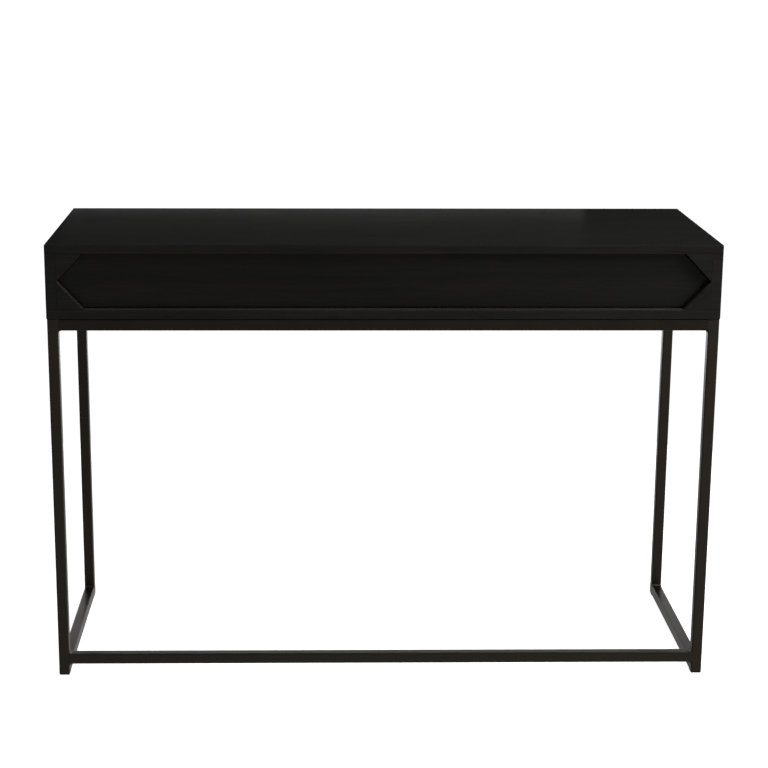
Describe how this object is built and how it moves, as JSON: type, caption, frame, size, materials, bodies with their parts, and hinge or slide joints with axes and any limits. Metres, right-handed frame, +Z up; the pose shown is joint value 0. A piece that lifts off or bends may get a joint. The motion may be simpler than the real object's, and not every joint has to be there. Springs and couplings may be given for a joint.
{
  "type": "writing desk",
  "caption": "Flat wooden case with a wide drawer behind a six-sided recess, on a welded square-tube steel frame with floor runners and an open knee space.",
  "frame": {"origin": "on the floor, under the middle of the desk", "axes": "+X to the right along the desk's length, +Y to the back, +Z up; the drawer opens towards -Y"},
  "size_m": [1.16, 0.44, 0.78],
  "materials": {
    "stained_wood": "black stain with a satin lacquer, fine grain along the length",
    "bare_wood": "planed, oiled",
    "plywood": "sanded birch plywood",
    "black_steel": "fine-textured satin black powder coat",
    "zinc_steel": "zinc plated",
    "black_plastic": "moulded, matte",
    "grey_plastic": "moulded, matte",
    "felt": "pressed felt"
  },
  "bodies": {
    "desk": {"back_panel": "stained_wood", "bottom_panel": "stained_wood", "front_left_fixing_screw": "zinc_steel", "front_left_fixing_tab": "black_steel", "front_left_floor_pad": "felt", "front_left_leg": "black_steel", "front_low_rail": "black_steel", "front_right_fixing_screw": "zinc_steel", "front_right_fixing_tab": "black_steel", "front_right_floor_pad": "felt", "front_right_leg": "black_steel", "front_top_rail": "black_steel", "left_floor_runner": "black_steel", "left_latch_body": "grey_plastic", "left_runner_plug": "black_plastic", "left_side_panel": "stained_wood", "left_slide_cabinet_channel": "zinc_steel", "left_slide_packer": "bare_wood", "left_top_rail": "black_steel", "lower_left_corner_block": "stained_wood", "lower_right_corner_block": "stained_wood", "rear_left_fixing_screw": "zinc_steel", "rear_left_fixing_tab": "black_steel", "rear_left_floor_pad": "felt", "rear_left_leg": "black_steel", "rear_right_fixing_screw": "zinc_steel", "rear_right_fixing_tab": "black_steel", "rear_right_floor_pad": "felt", "rear_right_leg": "black_steel", "rear_top_rail": "black_steel", "right_floor_runner": "black_steel", "right_latch_body": "grey_plastic", "right_runner_plug": "black_plastic", "right_side_panel": "stained_wood", "right_slide_cabinet_channel": "zinc_steel", "right_slide_packer": "bare_wood", "right_top_rail": "black_steel", "top_panel": "stained_wood", "upper_left_corner_block": "stained_wood", "upper_right_corner_block": "stained_wood"},
    "drawer": {"drawer_bottom": "plywood", "drawer_box_back": "bare_wood", "drawer_box_front": "bare_wood", "drawer_front": "stained_wood", "drawer_front_screw_1": "zinc_steel", "drawer_front_screw_2": "zinc_steel", "drawer_front_screw_3": "zinc_steel", "drawer_front_screw_4": "zinc_steel", "drawer_left_side": "bare_wood", "drawer_right_side": "bare_wood", "left_slide_drawer_channel": "zinc_steel", "right_slide_drawer_channel": "zinc_steel"},
    "left_middle_slide": {"left_slide_middle_channel": "zinc_steel"},
    "right_middle_slide": {"right_slide_middle_channel": "zinc_steel"},
    "left_plunger": {"left_latch_plunger": "zinc_steel"},
    "right_plunger": {"right_latch_plunger": "zinc_steel"}
  },
  "joints": [
    {"name": "drawer_slide", "type": "slide", "parent": "desk", "child": "drawer", "axis": [0, -1, 0], "range_m": [0, 0.3]},
    {"name": "left_middle_travel", "type": "slide", "parent": "desk", "child": "left_middle_slide", "axis": [0, -1, 0], "range_m": [0, 0.15]},
    {"name": "right_middle_travel", "type": "slide", "parent": "desk", "child": "right_middle_slide", "axis": [0, -1, 0], "range_m": [0, 0.15]},
    {"name": "left_latch_press", "type": "slide", "parent": "desk", "child": "left_plunger", "axis": [0, 1, 0], "range_m": [0, 0.003], "stiffness_N_per_m": 400, "springref_m": -0.001},
    {"name": "right_latch_press", "type": "slide", "parent": "desk", "child": "right_plunger", "axis": [0, 1, 0], "range_m": [0, 0.003], "stiffness_N_per_m": 400, "springref_m": -0.001}
  ],
  "couplings": [
    {"joint": "left_middle_travel", "follows": "drawer_slide", "ratio": 0.5},
    {"joint": "right_middle_travel", "follows": "drawer_slide", "ratio": 0.5}
  ]
}
